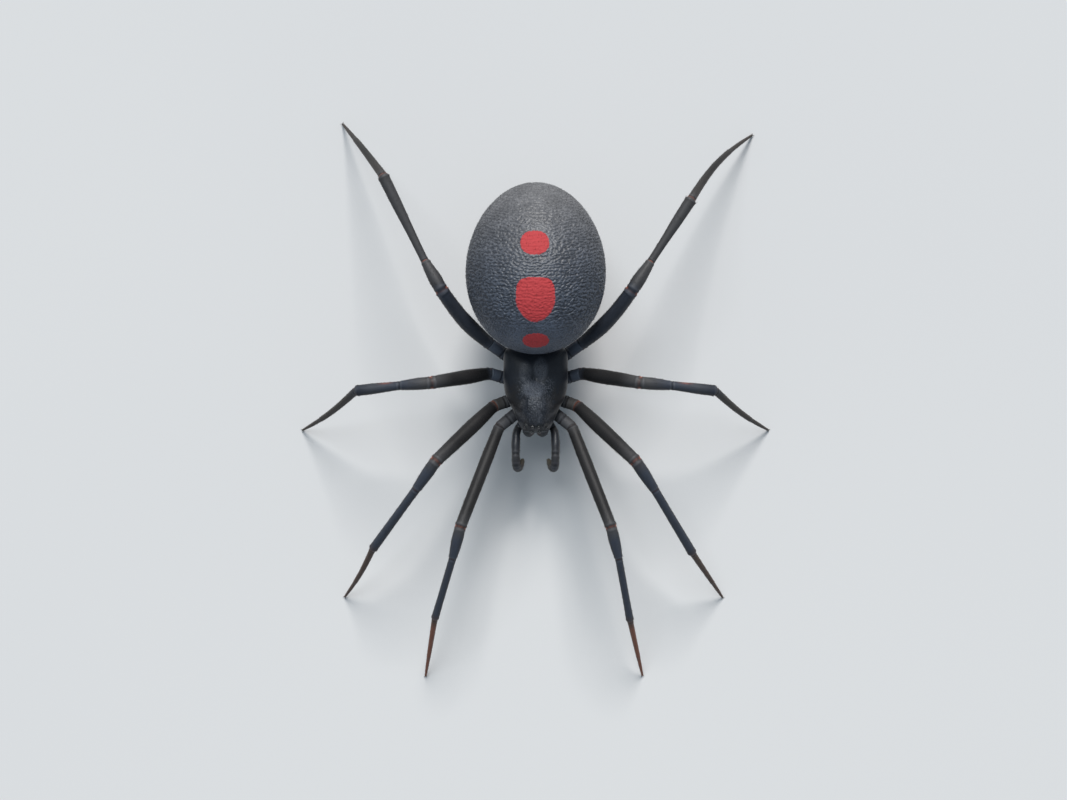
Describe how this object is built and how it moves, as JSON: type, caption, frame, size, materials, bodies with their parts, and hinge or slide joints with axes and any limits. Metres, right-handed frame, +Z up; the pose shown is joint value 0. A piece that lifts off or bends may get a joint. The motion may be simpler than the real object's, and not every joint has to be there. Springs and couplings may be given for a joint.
{
  "type": "black widow spider",
  "caption": "Adult female black widow spider as a still, life-size model: round abdomen, slender bent legs spread wide, standing on small flat feet.",
  "frame": {"origin": "on the floor, under the middle of the leg span", "axes": "+Z up, -Y towards the head, +X to the spider's own left"},
  "size_m": [0.025, 0.0295, 0.0085],
  "materials": {
    "carapace": "near-black, blue-grey sheen, finely granular",
    "abdomen": "slate grey, pebbled, with red marks on the back and a red hourglass below",
    "mouthparts": "dark brown-black, satin",
    "fang": "dark red-brown, glossy",
    "eye": "black, glassy",
    "upper_leg": "charcoal, satin, finely hairy",
    "lower_leg": "blue-grey, satin, finely hairy",
    "rusty_foot": "rusty brown, finely hairy",
    "dark_foot": "dark olive brown, finely hairy"
  },
  "bodies": {
    "root": {"carapace": "carapace", "sternum": "carapace", "pedicel": "carapace", "abdomen": "abdomen", "spinnerets": "mouthparts", "chelicera_left": "mouthparts", "fang_left": "fang", "palp_left": "mouthparts", "eye_anterior_median_left": "eye", "eye_anterior_lateral_left": "eye", "eye_posterior_median_left": "eye", "eye_posterior_lateral_left": "eye", "leg1_left_coxa": "upper_leg", "leg1_left_femur": "upper_leg", "leg1_left_patella": "upper_leg", "leg1_left_tibia": "lower_leg", "leg1_left_metatarsus": "rusty_foot", "leg2_left_coxa": "upper_leg", "leg2_left_femur": "upper_leg", "leg2_left_patella": "upper_leg", "leg2_left_tibia": "lower_leg", "leg2_left_metatarsus": "rusty_foot", "leg3_left_coxa": "upper_leg", "leg3_left_femur": "upper_leg", "leg3_left_patella": "upper_leg", "leg3_left_tibia": "lower_leg", "leg3_left_metatarsus": "dark_foot", "leg4_left_coxa": "upper_leg", "leg4_left_femur": "upper_leg", "leg4_left_patella": "upper_leg", "leg4_left_tibia": "lower_leg", "leg4_left_metatarsus": "dark_foot", "chelicera_right": "mouthparts", "fang_right": "fang", "palp_right": "mouthparts", "eye_anterior_median_right": "eye", "eye_anterior_lateral_right": "eye", "eye_posterior_median_right": "eye", "eye_posterior_lateral_right": "eye", "leg1_right_coxa": "upper_leg", "leg1_right_femur": "upper_leg", "leg1_right_patella": "upper_leg", "leg1_right_tibia": "lower_leg", "leg1_right_metatarsus": "rusty_foot", "leg2_right_coxa": "upper_leg", "leg2_right_femur": "upper_leg", "leg2_right_patella": "upper_leg", "leg2_right_tibia": "lower_leg", "leg2_right_metatarsus": "rusty_foot", "leg3_right_coxa": "upper_leg", "leg3_right_femur": "upper_leg", "leg3_right_patella": "upper_leg", "leg3_right_tibia": "lower_leg", "leg3_right_metatarsus": "dark_foot", "leg4_right_coxa": "upper_leg", "leg4_right_femur": "upper_leg", "leg4_right_patella": "upper_leg", "leg4_right_tibia": "lower_leg", "leg4_right_metatarsus": "dark_foot"}
  },
  "joints": []
}
